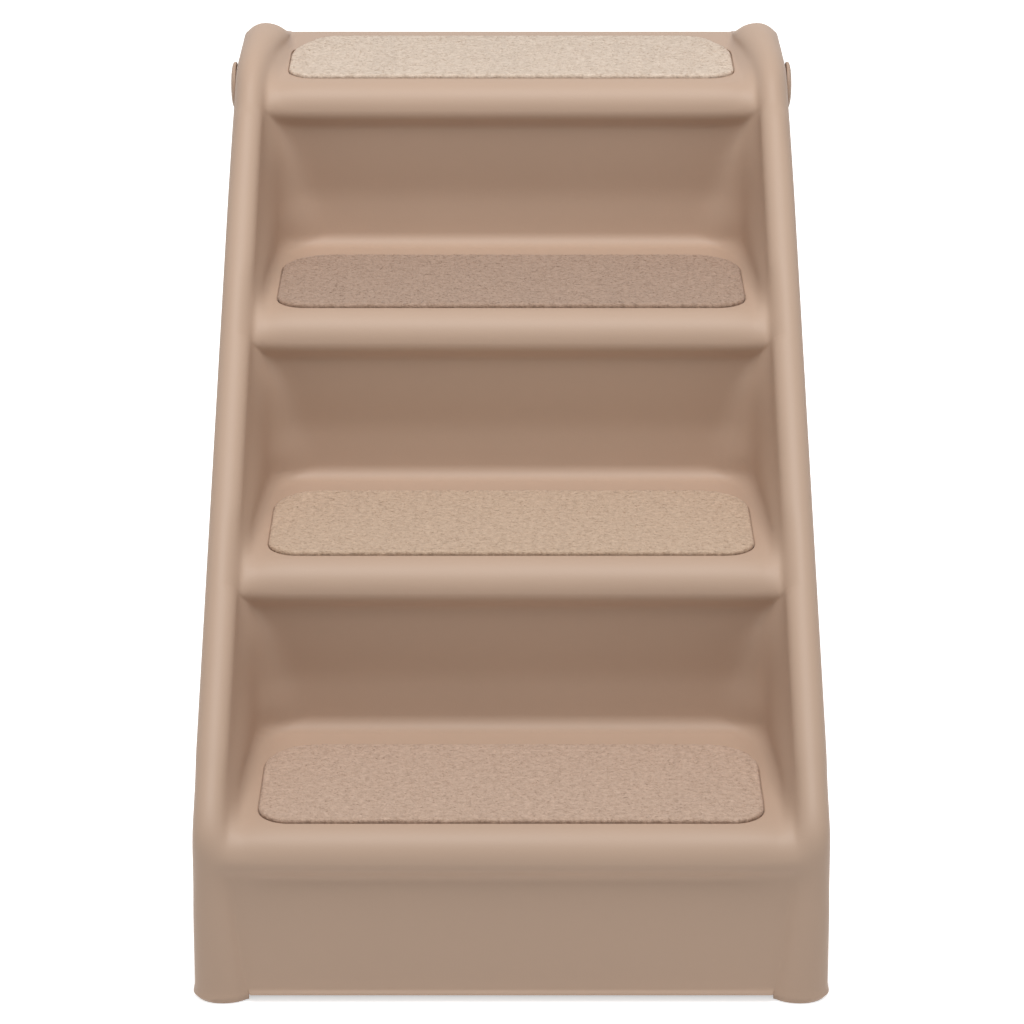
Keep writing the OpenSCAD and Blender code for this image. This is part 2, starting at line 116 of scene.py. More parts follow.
world = bpy.data.worlds.new("studio_air")
scene.world = world
world.use_nodes = True
air = world.node_tree
air.nodes.clear()
room_light = add(air, "ShaderNodeBackground",
                 {"Color": (1.0, 0.985, 0.97, 1.0), "Strength": 0.375})
paper_white = add(air, "ShaderNodeBackground", {"Color": (1.0, 1.0, 1.0, 1.0), "Strength": 1.0})
pick = add(air, "ShaderNodeMixShader")
air_out = add(air, "ShaderNodeOutputWorld")
wire(air, (white_for_lens(air), 0, pick, 0), (room_light, 0, pick, 1), (paper_white, 0, pick, 2),
     (pick, 0, air_out, "Surface"))

paper_bm = bmesh.new()
bmesh.ops.create_circle(paper_bm, cap_ends=True, segments=96, radius=9.0)
paper_floor = piece_from("paper_floor", paper_bm)
paper = bpy.data.materials.new("white_paper")
paper.use_nodes = True
sheet = paper.node_tree
sheet.nodes.clear()
paper_skin = add(sheet, "ShaderNodeBsdfDiffuse", {"Color": (0.78, 0.77, 0.76, 1.0)})
glow = add(sheet, "ShaderNodeEmission", {"Color": (1.0, 1.0, 1.0, 1.0)})
# the paper is white to the lens from 40 mm beyond a box just inside the stairs' footprint
paper_spot = add(sheet, "ShaderNodeTexCoord")
paper_size = add(sheet, "ShaderNodeVectorMath", operation="ABSOLUTE")
paper_clear = add(sheet, "ShaderNodeVectorMath", {1: (0.18, 0.275, 0.0)}, operation="SUBTRACT")
paper_beyond = add(sheet, "ShaderNodeVectorMath", {1: (0.0, 0.0, 0.0)}, operation="MAXIMUM")
paper_reach = add(sheet, "ShaderNodeVectorMath", operation="LENGTH")
paper_glow = add(sheet, "ShaderNodeMapRange",
                 {"From Min": 0.0, "From Max": 0.04, "To Min": 0.12, "To Max": 0.95},
                 interpolation_type="SMOOTHSTEP")
gate = add(sheet, "ShaderNodeMixShader")
both = add(sheet, "ShaderNodeAddShader")
paper_out = add(sheet, "ShaderNodeOutputMaterial")
wire(sheet, (paper_spot, "Object", paper_size, 0), (paper_size, "Vector", paper_clear, 0),
     (paper_clear, "Vector", paper_beyond, 0), (paper_beyond, "Vector", paper_reach, 0),
     (paper_reach, "Value", paper_glow, "Value"), (paper_glow, "Result", glow, "Strength"),
     (paper_skin, 0, both, 0), (glow, 0, both, 1), (white_for_lens(sheet), 0, gate, 0),
     (paper_skin, 0, gate, 1), (both, 0, gate, 2), (gate, 0, paper_out, "Surface"))
paper_floor.data.materials.append(paper)


# The stairs: one taupe skin of moulded polypropylene, 3.5 mm thick, pulled off an upright mould,
# so its sides lean in a little and every edge is rounded. Sizes are in drawing millimetres,
# counted from the front of the first nosing.
PAD_SET, PAD_DEPTH, PAD_HALF = 22.0, 108.6, 157.5
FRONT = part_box("carpet_pad_1")[0].y * 1000.0 - PAD_SET
RUN, RISE, STEPS = 148.0, 118.5, 4
TOP = RISE * STEPS
REAR = RUN * 3 + 158.0
WALL, NOSE_R = 3.5, 22.5
FOOT_HALF, LEAN = 199.5, 0.9
RAIL_W, RAIL_R = 21.0, 10.5
HUMP, HUMP_W, HUMP_L = TOP + 21, 32.0, 70.0
RAIL_PROUD, SKIRT_DROP, UNDER_NOSE = 12, 139, 30
# how far a riser stands behind the nosing over it, at three heights above its tread
RISER_UP, RISER_BACK = (0, 36, 88), (12, 14.5, 7)


def half_width(z):
    return FOOT_HALF - z * math.tan(math.radians(LEAN))


def in_place(points):
    """Drawing millimetres (x, y from the first nosing, z) as metres in the row frame."""
    points = np.asarray(points, float)
    return (points + np.array([0.0, FRONT, 0.0])) / 1000.0


def arc_corner(before, at, after, radius, turn_step):
    """The arc that rounds one corner of an outline, as a list of points."""
    a, b, c = (np.asarray(p, float) for p in (before, at, after))
    u, w = (a - b) / np.linalg.norm(a - b), (c - b) / np.linalg.norm(c - b)
    half = math.acos(max(-1.0, min(1.0, float(u @ w)))) / 2
    if radius <= 0 or abs(half - math.pi / 2) < 1e-4:
        return [b]
    centre = b + (u + w) / np.linalg.norm(u + w) * radius / math.sin(half)
    start = b + u * radius / math.tan(half) - centre
    sweep = math.pi - 2 * half
    side = math.copysign(1.0, (b - a)[0] * (c - b)[1] - (b - a)[1] * (c - b)[0])
    count = max(2, math.ceil(math.degrees(sweep) / turn_step))
    spots = []
    for i in range(count + 1):
        t = side * sweep * i / count
        spots.append(centre + np.array([start[0] * math.cos(t) - start[1] * math.sin(t),
                                        start[0] * math.sin(t) + start[1] * math.cos(t)]))
    return spots


def rounded_line(points, radii, turn_step, longest):
    """An open outline with rounded corners, no stretch of it longer than `longest`."""
    line = [np.asarray(points[0], float)]
    for i in range(1, len(points) - 1):
        line += arc_corner(points[i - 1], points[i], points[i + 1], radii[i], turn_step)
    line.append(np.asarray(points[-1], float))
    dense = [line[0]]
    for p in line[1:]:
        gap = np.linalg.norm(p - dense[-1])
        parts = max(1, math.ceil(gap / longest))
        start = dense[-1]
        dense += [start + (p - start) * k / parts for k in range(1, parts + 1)]
    return np.array(dense)


def rounded_plan(corners, turn_step):
    """A closed outline with rounded corners, each given as its point and its radius."""
    plan = []
    for i, (at, radius) in enumerate(corners):
        before, after = corners[i - 1][0], corners[(i + 1) % len(corners)][0]
        plan += arc_corner(before, at, after, radius, turn_step)
    return plan


def soft_step(low, high, value):
    t = np.clip((np.asarray(value, float) - low) / (high - low), 0.0, 1.0)
    return t * t * (3 - 2 * t)


# profile of the steps: the front panel's edge, under-nose, nosing, tread, riser, to the rear lip
step_points = [(8.31, 5.8), (8.3, 6.3), (8.28, 6.9), (8.26, 7.6), (8.24, 8.4), (8.2, 9.4)]
step_radii = [0] * len(step_points)
for n in range(STEPS):
    y, z = n * RUN, (n + 1) * RISE
    step_points += [(y + RISER_BACK[2], z - UNDER_NOSE), (y, z - NOSE_R), (y, z)]
    step_radii += [11, 11, 18]
    if n < STEPS - 1:
        step_points += [(y + RUN + RISER_BACK[0], z),
                        (y + RUN + RISER_BACK[1], z + RISER_UP[1])]
        step_radii += [10, 60]
step_points += [(REAR, TOP), (REAR, TOP - UNDER_NOSE)]
step_radii += [8.4, 0]
profile = rounded_line(step_points, step_radii, 9.5, 8.5)

# base line of the side rails: column, slope, hump, run-out and the rear edge
SLOPE = math.atan2(RISE, RUN)
SQUARE = np.array([math.sin(SLOPE), -math.cos(SLOPE)])
nosing_line = float(np.array([NOSE_R, RISE - NOSE_R]) @ SQUARE) - NOSE_R
rail_line = nosing_line - RAIL_PROUD + RAIL_R


def on_line(line, y=None, z=None):
    """The point of a sloping line at the given depth or height."""
    if z is None:
        return np.array([y, (y * SQUARE[0] - line) / -SQUARE[1]])
    return np.array([(line - z * SQUARE[1]) / SQUARE[0], z])


rear_end = (REAR, TOP - 44)
hump_front = on_line(rail_line, z=HUMP - RAIL_R)
hump_rear = hump_front + np.array([HUMP_L, 0.0])
rail_points = [(16.5, 1.5), on_line(rail_line, y=10.5), hump_front, hump_rear,
               (REAR - 10.5, TOP), (REAR, TOP - 7), rear_end]
rail_base = rounded_line(rail_points, [0, 21, 42, 21, 6, 6, 0], 4.0, 2.0)

# lower edge of the sides
skirt_line = nosing_line + SKIRT_DROP
skirt_points = [on_line(skirt_line, z=1.5), on_line(skirt_line, y=REAR), rear_end]
skirt_edge = rounded_line(skirt_points, [0, NOSE_R, 0], 5.0, 3.0)


def lengths_along(line):
    return np.concatenate([[0.0], np.cumsum(np.linalg.norm(np.diff(line, axis=0), axis=1))])


def spot_at(line, lengths, s):
    return np.stack([np.interp(s, lengths, line[:, k]) for k in (0, 1)], axis=-1)


# each row of the skin runs from a spot of the profile over its own spot of the rail to the skirt
rail_len, skirt_len = lengths_along(rail_base), lengths_along(skirt_edge)
nearest = np.array([rail_len[np.argmin(np.linalg.norm(rail_base - p, axis=1))] for p in profile])
nearest[0] = 0.0
rail_s = np.maximum.accumulate(nearest) + np.arange(len(profile)) * 1e-3
for _ in range(6):
    rail_s[1:-1] = (rail_s[:-2] + 2 * rail_s[1:-1] + rail_s[2:]) / 4
rail_at = spot_at(rail_base, rail_len, rail_s)
ahead = spot_at(rail_base, rail_len, np.minimum(rail_s + 1.0, rail_len[-1]))
behind = spot_at(rail_base, rail_len, np.maximum(rail_s - 1.0, 0.0))
rail_dir = (ahead - behind) / np.linalg.norm(ahead - behind, axis=1)[:, None]
rail_out = np.stack([-rail_dir[:, 1], rail_dir[:, 0]], axis=1)
up_slope = np.array([math.cos(SLOPE), math.sin(SLOPE)])
skirt_u, rail_u = skirt_edge @ up_slope, rail_base @ up_slope
# rail and skirt are matched by length on the columns, up the slope and at the rear
slope_ends = (110, 660)
table_rail = [0.0] + [rail_len[np.argmax(rail_u > u)] for u in slope_ends] + [rail_len[-1]]
table_skirt = [0.0] + [skirt_len[np.argmax(skirt_u > u)] for u in slope_ends]
table_skirt.append(skirt_len[-1] - 6)
skirt_at = spot_at(skirt_edge, skirt_len, np.interp(rail_s, table_rail, table_skirt))


def rail_width(p):
    """The columns widen to the foot, and the rails widen into the humps."""
    if p[1] < 117:
        return np.interp(p[1], [0, 30, 117], [35, 31, RAIL_W])
    return np.interp(p[0], [hump_front[0], hump_rear[0]], [RAIL_W, HUMP_W])


def rail_swell(p):
    """How far the rail's rounding stands over its base line."""
    return (RAIL_R * np.interp(p[0], [hump_rear[0], REAR - 10.5], [1.0, 0.15])
            + 2.6 * (1 - float(soft_step(16, 92, p[1]))))


def side_wall(y, z, n):
    """Half the width between the sides over tread n, with the rounded rear corners."""
    if n < 1:
        return half_width(RISE) - RAIL_W
    if n == STEPS:
        front, rear = half_width(TOP) - RAIL_W, half_width(HUMP) - HUMP_W
        return float(np.interp(y, [(n - 1) * RUN - NOSE_R, hump_rear[0]], [front, rear]))
    up = z - n * RISE
    corner_r = 30.0 - 20.0 * float(np.clip((up - 20) / 66, 0, 1))
    ahead = n * RUN + float(np.interp(up, RISER_UP, RISER_BACK)) - y
    into = min(max(corner_r - ahead, 0.0), corner_r)
    straight = half_width(n * RISE) - RAIL_W - 12 * float(
        np.clip((y - (n - 1) * RUN + NOSE_R) / (RUN + 16 + NOSE_R), 0, 1))
    return straight - corner_r + math.sqrt(corner_r * corner_r - into * into)


FLOOR_COLS, WALL_COLS, RAIL_COLS, SIDE_COLS = 14, 16, 16, 7
RAIL_START = FLOOR_COLS + WALL_COLS
tangent = np.gradient(profile, axis=0)
facing = np.arctan2(tangent[:, 0], tangent[:, 1])
half_rows = []
for i, (fy, fz) in enumerate(profile):
    base, out, skirt = rail_at[i], rail_out[i], skirt_at[i]
    flat = np.array([fy, fz])
    step = min(STEPS, max(0, int(math.floor((fz + 0.5) / RISE + 1e-6))))
    # 0 where the row lies on a tread that faces up, 1 on a riser or a nosing that faces the front
    tilt = min(max(facing[i], 0.0), math.pi / 2)
    front = float(soft_step(0.15, 1.0, math.cos(tilt)))
    square_out = np.array([-math.cos(tilt), math.sin(tilt)])
    depth = float((base - flat) @ out)
    room = max(float((base - flat) @ square_out), 0.0)
    swell, width = rail_swell(base), rail_width(base)
    # 1 where the row lies inside the rail, 0 where a nosing stands out past it
    wall_share = float(soft_step(-2.0, 4.0, depth))
    x_rail = half_width(base[1]) - width
    on_riser = front * float(soft_step(14, 30, (step + 1) * RISE - fz)) if step > 0 else 0.0
    # the rounding between a tread and the wall beside it, which is slight at a riser
    blend_x = 9 - 7 * on_riser
    blend_rise = min(10 - 8 * on_riser, 0.8 * room + 0.4)
    if step == STEPS and fy > RUN * 3 + 20:
        blend_x = blend_rise = min(13.0, 0.9 * room + 0.4)
    row, walls = [], []
    for k in range(WALL_COLS + 1):
        g = (k / WALL_COLS) ** 1.7
        spot = flat + (base - flat) * g * wall_share
        rise = max(float((spot - flat) @ square_out), 0.0)
        upper = min(step + 1, STEPS)
        share = float(soft_step(-55, 0, spot[1] - upper * RISE)) if step < STEPS else 1.0
        x = side_wall(spot[0], spot[1], step)
        x += (side_wall(spot[0], spot[1], upper) - x) * share
        if rise < blend_rise:
            x -= blend_x * (1 - math.sqrt(max(1 - (1 - rise / blend_rise) ** 2, 0.0)))
        x += (x_rail - x) * float(soft_step(0.30, 1.0, g)) ** 1.2
        # past the rail there is no wall, and its columns close up beside the rail
        x_low = x_rail - 14 + 14 * k / WALL_COLS
        x = x_low + (x - x_low) * wall_share
        walls.append((x, spot[0], spot[1]))
    # the tread's own columns, closer together towards the wall
    for m in range(FLOOR_COLS):
        share = m / FLOOR_COLS
        row.append((walls[0][0] * (1 - (1 - share) ** 1.25), fy, fz))
    row += walls
    # a hump drops to the side of the stairs over a shoulder, and a column is squarer at its foot
    shoulder = 9.0 * float(soft_step(RUN * 3 - 70, hump_front[0] + 10, base[0])
                           * (1 - soft_step(hump_rear[0] - 10, REAR - 30, base[0])))
    squarer = 1 - 0.32 * (1 - float(soft_step(25, 100, base[1])))
    for j in range(1, RAIL_COLS + 1):
        turn = math.pi * (1 - j / RAIL_COLS)
        across = width / 2 * math.cos(turn)
        x_share = (across + width / 2) / width
        proud = max(-depth, 0.0) * (1 - float(soft_step(0.05, 0.75, x_share)))
        height = swell * math.sin(turn) ** squarer
        if across > 0:
            height = (swell + shoulder) * math.sin(turn) - shoulder
        if proud > 0:
            height = max(proud, height) + 0.5 * max(2.0 - abs(proud - height), 0.0) ** 2 / 4
        spot = base + out * height
        row.append((half_width(spot[1]) - width / 2 + across, spot[0], spot[1]))
    edge = base - out * shoulder
    for q in range(1, SIDE_COLS + 1):
        spot = edge + (skirt - edge) * q / SIDE_COLS
        row.append((half_width(spot[1]), spot[0], spot[1]))
    half_rows.append(row)

half_rows = np.array(half_rows)

# a low rolled lip runs round the lower edge, and the edge itself is rounded in
low = half_rows[:, :, 2]
lip = (0.9 * soft_step(1.6, 3.6, low) * (1 - soft_step(4.6, 7.2, low))
       - 1.4 * (1 - soft_step(1.4, 3.4, low)))
lip[:, :RAIL_START] = (2.4 * (1 - soft_step(6.3, 9.1, low)))[:, :RAIL_START]
round_turn = np.zeros(half_rows.shape[1])
round_turn[RAIL_START:RAIL_START + RAIL_COLS + 1] = np.linspace(0, math.pi / 2, RAIL_COLS + 1)
round_turn[RAIL_START + RAIL_COLS:] = math.pi / 2
half_rows[:, :, 0] += lip * np.sin(round_turn)
half_rows[:, :, 1] -= lip * np.cos(round_turn)

# the mould has no sharp inner corner: where a nosing runs into a rail the skin is eased. Each
# nosing has its reach in millimetres, and the columns over the rail where the ease runs out
EASE_PASSES = 16
MIDDLE_NOSING = ((24, 40), (3, 9))
nosing_reach = {0: ((34, 64), (12, 17)), STEPS - 1: ((28, 56), (9, 16))}
column = np.arange(half_rows.shape[1])


def ease_across(far_start, far_end):
    """How much each column is eased, from just inside the rail to the given columns over it."""
    return soft_step(FLOOR_COLS - 3, FLOOR_COLS + 3, column) * (
        1 - soft_step(RAIL_START + far_start, RAIL_START + far_end, column))


ease = 0.05 * np.ones(len(profile))[:, None] * ease_across(3, 9)[None, :]
for n in range(STEPS):
    near, columns = nosing_reach.get(n, MIDDLE_NOSING)
    away = np.hypot(profile[:, 0] - n * RUN - 18, profile[:, 1] - (n + 1) * RISE)
    end = (1 - soft_step(*near, away))[:, None] * ease_across(*columns)[None, :]
    ease = np.maximum(ease, end)
ease[0] = ease[-1] = 0
for _ in range(EASE_PASSES):
    mean = half_rows.copy()
    mean[1:-1, 1:-1] = (half_rows[:-2, 1:-1] + half_rows[2:, 1:-1]
                        + half_rows[1:-1, :-2] + half_rows[1:-1, 2:]) / 4
    half_rows += (mean - half_rows) * (0.8 * ease)[:, :, None]

left_rows = half_rows[:, :0:-1, :] * np.array([-1.0, 1.0, 1.0])
skin_rows = np.concatenate([left_rows, half_rows], axis=1)
row_count, col_count = skin_rows.shape[:2]
skin_mesh = bpy.data.meshes.new("stairs_skin")
skin_faces = []
for i in range(row_count - 1):
    for c in range(col_count - 1):
        at, above = i * col_count + c, (i + 1) * col_count + c
        skin_faces.append((at, at + 1, above + 1, above))
skin_mesh.from_pydata(in_place(skin_rows.reshape(-1, 3)).tolist(), [], skin_faces)
skin_mesh.update()
skin = placed("stairs_skin", skin_mesh)


def bake(obj):
    """Applies the modifiers of a piece and leaves it a plain mesh."""
    graph = bpy.context.evaluated_depsgraph_get()
    graph.update()
    baked = bpy.data.meshes.new_from_object(obj.evaluated_get(graph))
    obj.modifiers.clear()
    old = obj.data
    obj.data = baked
    bpy.data.meshes.remove(old)
    return obj


thick = skin.modifiers.new("wall", "SOLIDIFY")
thick.thickness = WALL / 1000.0
thick.offset = -1.0
thick.use_even_offset = True
thick.use_quality_normals = True
bake(skin)


def pad_outline(n, grow, steps=14):
    """Plan of a carpet pad, or of its recess, as points that run anticlockwise."""
    y0, y1 = n * RUN + PAD_SET - grow, n * RUN + PAD_SET + PAD_DEPTH + grow
    w = PAD_HALF + grow
    corners = [((-w, y0), 19 + grow), ((w, y0), 19 + grow),
               ((w, y1), 32 + grow), ((-w, y1), 32 + grow)]
    if n == STEPS - 1:
        # the top one is cut back at its rear corners, to clear the feet of the humps
        w -= 2
        corners = [((-w, y0), 19 + grow), ((w, y0), 19 + grow), ((w, y1 - 36), 62),
                   ((w - 20, y1), 22), ((-w + 20, y1), 22), ((-w, y1 - 36), 62)]
    return np.array(rounded_plan(corners, 90.0 / steps))


def bridge(bm, loops):
    """Faces from each closed loop of points to the next, which has as many."""
    for low, high in zip(loops, loops[1:]):
        for c in range(len(low)):
            d = (c + 1) % len(low)
            bm.faces.new((low[c], low[d], high[d], high[c]))


def stacked(bm, loops):
    """A closed solid through a stack of loops that all have the same number of points."""
    made = [[bm.verts.new(p) for p in in_place(loop)] for loop in loops]
    bridge(bm, made)
    bm.faces.new(made[-1])
    bm.faces.new(made[0][::-1])


# the four recesses that the carpets lie in, with a small chamfer at the rim
cut_bm = bmesh.new()
for n in range(STEPS):
    z = (n + 1) * RISE
    rings = [(0.5, z - 1.6), (0.5, z - 0.7), (1.3, z), (1.3, z + 6)]
    stacked(cut_bm, [[(x, y, height) for x, y in pad_outline(n, grow)] for grow, height in rings])
bmesh.ops.recalc_face_normals(cut_bm, faces=cut_bm.faces)
cutter = piece_from("recess_cutter", cut_bm)
carve = skin.modifiers.new("recesses", "BOOLEAN")
carve.operation = "DIFFERENCE"
carve.solver = "EXACT"
carve.object = cutter
bake(skin)
bpy.data.objects.remove(cutter)


def finish_mesh(obj, angle):
    """Smooth shading that keeps the edges sharper than the angle, in degrees."""
    obj.data.polygons.foreach_set("use_smooth", [True] * len(obj.data.polygons))
    obj.data.set_sharp_from_angle(angle=math.radians(angle))
    obj.data.update()


finish_mesh(skin, 38)

# its finish is a fine grain from the mould and faint clouds of the melt under a satin sheen;
# the felt, the rubber and the zinc use the same two patterns at other sizes
grain = bpy.data.node_groups.new("moulded_grain", "ShaderNodeTree")
for label, kind, value in (("Grain Size", "NodeSocketFloat", 900.0),
                           ("Cloud Size", "NodeSocketFloat", 9.0),
                           ("Stretch", "NodeSocketVector", (1.0, 1.0, 1.0))):
    socket = grain.interface.new_socket(label, in_out="INPUT", socket_type=kind)
    socket.default_value = value
for label in ("Height", "Clouds"):
    grain.interface.new_socket(label, in_out="OUTPUT", socket_type="NodeSocketFloat")
g_in = add(grain, "NodeGroupInput")
g_out = add(grain, "NodeGroupOutput")
g_place = add(grain, "ShaderNodeTexCoord")
g_stretch = add(grain, "ShaderNodeVectorMath", operation="MULTIPLY")
g_fine = add(grain, "ShaderNodeTexNoise", {"Detail": 3.0, "Roughness": 0.6})
g_cloud = add(grain, "ShaderNodeTexNoise", {"Detail": 2.0})
wire(grain, (g_place, "Object", g_stretch, 0), (g_in, "Stretch", g_stretch, 1),
     (g_stretch, "Vector", g_fine, "Vector"), (g_stretch, "Vector", g_cloud, "Vector"),
     (g_in, "Grain Size", g_fine, "Scale"), (g_in, "Cloud Size", g_cloud, "Scale"),
     (g_fine, "Fac", g_out, "Height"), (g_cloud, "Fac", g_out, "Clouds"))


def new_finish(name, constants):
    """A material, its tree and its shader, with the values that hold all over the surface."""
    mat = bpy.data.materials.new(name)
    mat.use_nodes = True
    surface = mat.node_tree.nodes["Principled BSDF"]
    for entry, value in constants.items():
        surface.inputs[entry].default_value = value
    return mat, mat.node_tree, surface


def moulded_plastic(name, colour, roughness, grain_size, depth):
    """Plastic or rubber: a fine moulded grain, faint clouds in the colour and a satin sheen."""
    mat, tree, surface = new_finish(name, {"Specular IOR Level": 0.4})
    darker = tuple(c * 0.965 for c in colour) + (1.0,)
    lighter = tuple(min(c * 1.03, 1.0) for c in colour) + (1.0,)
    effect = add(tree, "ShaderNodeGroup", {"Grain Size": grain_size}, node_tree=grain)
    tint = add(tree, "ShaderNodeMix", {"A": darker, "B": lighter}, data_type="RGBA")
    rough = add(tree, "ShaderNodeMapRange",
                {"To Min": roughness - 0.05, "To Max": roughness + 0.06})
    bump = add(tree, "ShaderNodeBump", {"Strength": 0.35, "Distance": depth})
    wire(tree, (effect, "Clouds", tint, "Factor"), (tint, "Result", surface, "Base Color"),
         (effect, "Clouds", rough, "Value"), (rough, "Result", surface, "Roughness"),
         (effect, "Height", bump, "Height"), (bump, "Normal", surface, "Normal"))
    return mat


def dress(piece, finish, body, node):
    """Gives a finished piece its material and body, and hides the CAD node that it stands for."""
    piece.data.materials.clear()
    piece.data.materials.append(finish)
    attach(piece, body)
    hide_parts(node)


taupe = moulded_plastic("taupe_plastic", (0.484, 0.345, 0.258), 0.52, 1100.0, 0.0002)
dress(skin, taupe, "stairs", "stair_shell")


# The ribs: three thin webs moulded with the skin, which stiffen each riser and tread from inside.
# One outline for each step is filled, made as thick as the web and repeated over the width.
RIB_T, RIB_PITCH, RIB_COUNT, RIB_DEPTH = 3.5, 92.0, 3, 14.5
PIVOT_Y = 528.0
inward = np.stack([tangent[:, 1], -tangent[:, 0]], axis=1)
inward /= np.linalg.norm(tangent, axis=1)[:, None]
rib_bm = bmesh.new()
# a web follows the inside of the skin and comes back along its own free edge
for n in range(STEPS):
    next_y, z_floor, z_top = (n + 1) * RUN, n * RISE, (n + 1) * RISE
    # the top tread's ribs end over the pivots, and the others meet the next riser's
    last = n == STEPS - 1
    end_y = PIVOT_Y if last else next_y + 13.5
    knee = (PIVOT_Y if last else next_y - 2.1, z_top - RIB_DEPTH)
    start_z = 11.0 if n == 0 else z_floor + 1.6
    first = int(np.argmax(profile[:, 1] > start_z))
    outer = [profile[i] + inward[i] * 2.0 for i in range(first, len(profile))
             if profile[i, 1] <= z_top + 0.01 and profile[i, 0] < end_y]
    corner = arc_corner(knee, (n * RUN + 21.5, z_top - RIB_DEPTH),
                        (n * RUN + 30.5, z_floor + 11.6), 9.0, 10.0)
    plan = outer + [(end_y, z_top - 2.0), knee] + corner + [(n * RUN + 26.0, z_floor + 13.0)]
    ring = [rib_bm.verts.new(((y + FRONT) / 1000, z / 1000, 0.0)) for y, z in plan]
    for a, b in zip(ring, ring[1:] + ring[:1]):
        rib_bm.edges.new((a, b))
ribs = piece_from("stairs_ribs", rib_bm)


def node_tree_with(name, sockets):
    """A Geometry Nodes tree with the named inputs, their identifiers and the tree's two ends."""
    made = bpy.data.node_groups.new(name, "GeometryNodeTree")
    made.interface.new_socket("Geometry", in_out="INPUT", socket_type="NodeSocketGeometry")
    keys = {}
    for label, kind in sockets:
        socket = made.interface.new_socket(label, in_out="INPUT", socket_type=f"NodeSocket{kind}")
        keys[label] = socket.identifier
    made.interface.new_socket("Geometry", in_out="OUTPUT", socket_type="NodeSocketGeometry")
    return made, keys, add(made, "NodeGroupInput"), add(made, "NodeGroupOutput")


def repeated(tree, ends, points, shape):
    """Ends a tree: the shape is set on every point, made real and given the finish."""
    put = add(tree, "GeometryNodeInstanceOnPoints")
    real = add(tree, "GeometryNodeRealizeInstances")
    paint = add(tree, "GeometryNodeSetMaterial")
    wire(tree, (*points, put, "Points"), (*shape, put, "Instance"), (put, 0, real, 0),
         (real, 0, paint, "Geometry"), (ends[0], "Finish", paint, "Material"),
         (paint, 0, ends[1], "Geometry"))
    return put


def run_tree(obj, made, keys, values):
    """Runs a tree on a piece with the given values and leaves a plain mesh that faces outwards."""
    modifier = obj.modifiers.new(made.name, "NODES")
    modifier.node_group = made
    for label, value in values.items():
        modifier[keys[label]] = value
    bake(obj)
    bm = bmesh.new()
    bm.from_mesh(obj.data)
    bmesh.ops.recalc_face_normals(bm, faces=bm.faces)
    bm.to_mesh(obj.data)
    bm.free()


rib_tree, rib_keys, r_in, r_out = node_tree_with("rib_row", (
    ("Rib Thickness", "Float"), ("Rib Pitch", "Float"), ("Rib Count", "Int"),
    ("Finish", "Material")))
r_curve = add(rib_tree, "GeometryNodeMeshToCurve")
r_fill = add(rib_tree, "GeometryNodeFillCurve", mode="NGONS")
r_back = add(rib_tree, "GeometryNodeFlipFaces")
r_thick = add(rib_tree, "GeometryNodeExtrudeMesh", {"Individual": False})
r_both = add(rib_tree, "GeometryNodeJoinGeometry")
r_weld = add(rib_tree, "GeometryNodeMergeByDistance", {"Distance": 1e-6})
r_centre = add(rib_tree, "ShaderNodeMath", {1: -0.5}, operation="MULTIPLY")
r_middle = add(rib_tree, "ShaderNodeCombineXYZ")
r_stand = add(rib_tree, "GeometryNodeTransform", {"Rotation": (math.pi / 2, 0.0, math.pi / 2)})
r_start = add(rib_tree, "ShaderNodeMath", {1: -1.0}, operation="MULTIPLY")
r_from = add(rib_tree, "ShaderNodeCombineXYZ")
r_step = add(rib_tree, "ShaderNodeCombineXYZ")
r_line = add(rib_tree, "GeometryNodeMeshLine")
wire(rib_tree, (r_in, "Geometry", r_curve, "Mesh"), (r_curve, 0, r_fill, "Curve"),
     (r_fill, 0, r_thick, "Mesh"), (r_in, "Rib Thickness", r_thick, "Offset Scale"),
     (r_fill, 0, r_back, "Mesh"), (r_thick, "Mesh", r_both, 0), (r_back, 0, r_both, 0),
     (r_both, 0, r_weld, "Geometry"), (r_weld, 0, r_stand, "Geometry"),
     (r_in, "Rib Thickness", r_centre, 0), (r_centre, 0, r_middle, "X"),
     (r_middle, 0, r_stand, "Translation"), (r_in, "Rib Pitch", r_start, 0),
     (r_start, 0, r_from, "X"), (r_in, "Rib Pitch", r_step, "X"),
     (r_in, "Rib Count", r_line, "Count"), (r_from, 0, r_line, "Start Location"),
     (r_step, 0, r_line, "Offset"))
repeated(rib_tree, (r_in, r_out), (r_line, 0), (r_stand, 0))
run_tree(ribs, rib_tree, rib_keys, {"Rib Thickness": RIB_T / 1000, "Rib Pitch": RIB_PITCH / 1000,
                                    "Rib Count": RIB_COUNT, "Finish": taupe})
finish_mesh(ribs, 30)
dress(ribs, taupe, "stairs", "stair_shell")


# The pivot bosses: a round plate stands on the outside of each side and a deeper one inside, both
# moulded with it, with one bore through them for the pivot pin.
PIVOT_Z, BOSS_R, BORE_R = 452.0, 17.5, 8.05


def turned(name, rings, y, z, count=64, closed=False):
    """A left and a right piece turned about X, from (x, radius) pairs, as one mesh."""
    bm = bmesh.new()
    for side in (-1, 1):
        loops = []
        for x, radius in rings:
            turns = [2 * math.pi * c / count for c in range(count if radius else 1)]
            loops.append([bm.verts.new(in_place((side * x, y + radius * math.cos(a),
                                                 z + radius * math.sin(a)))) for a in turns])
        for one, two in zip(loops, loops[1:] + (loops[:1] if closed else [])):
            for c in range(count):
                d = (c + 1) % count
                corners = [one[0]] if len(one) == 1 else [one[c], one[d]]
                corners += [two[0]] if len(two) == 1 else [two[d], two[c]]
                if len(corners) > 2:
                    bm.faces.new(corners)
    bmesh.ops.recalc_face_normals(bm, faces=bm.faces)
    obj = piece_from(name, bm)
    finish_mesh(obj, 32)
    return obj


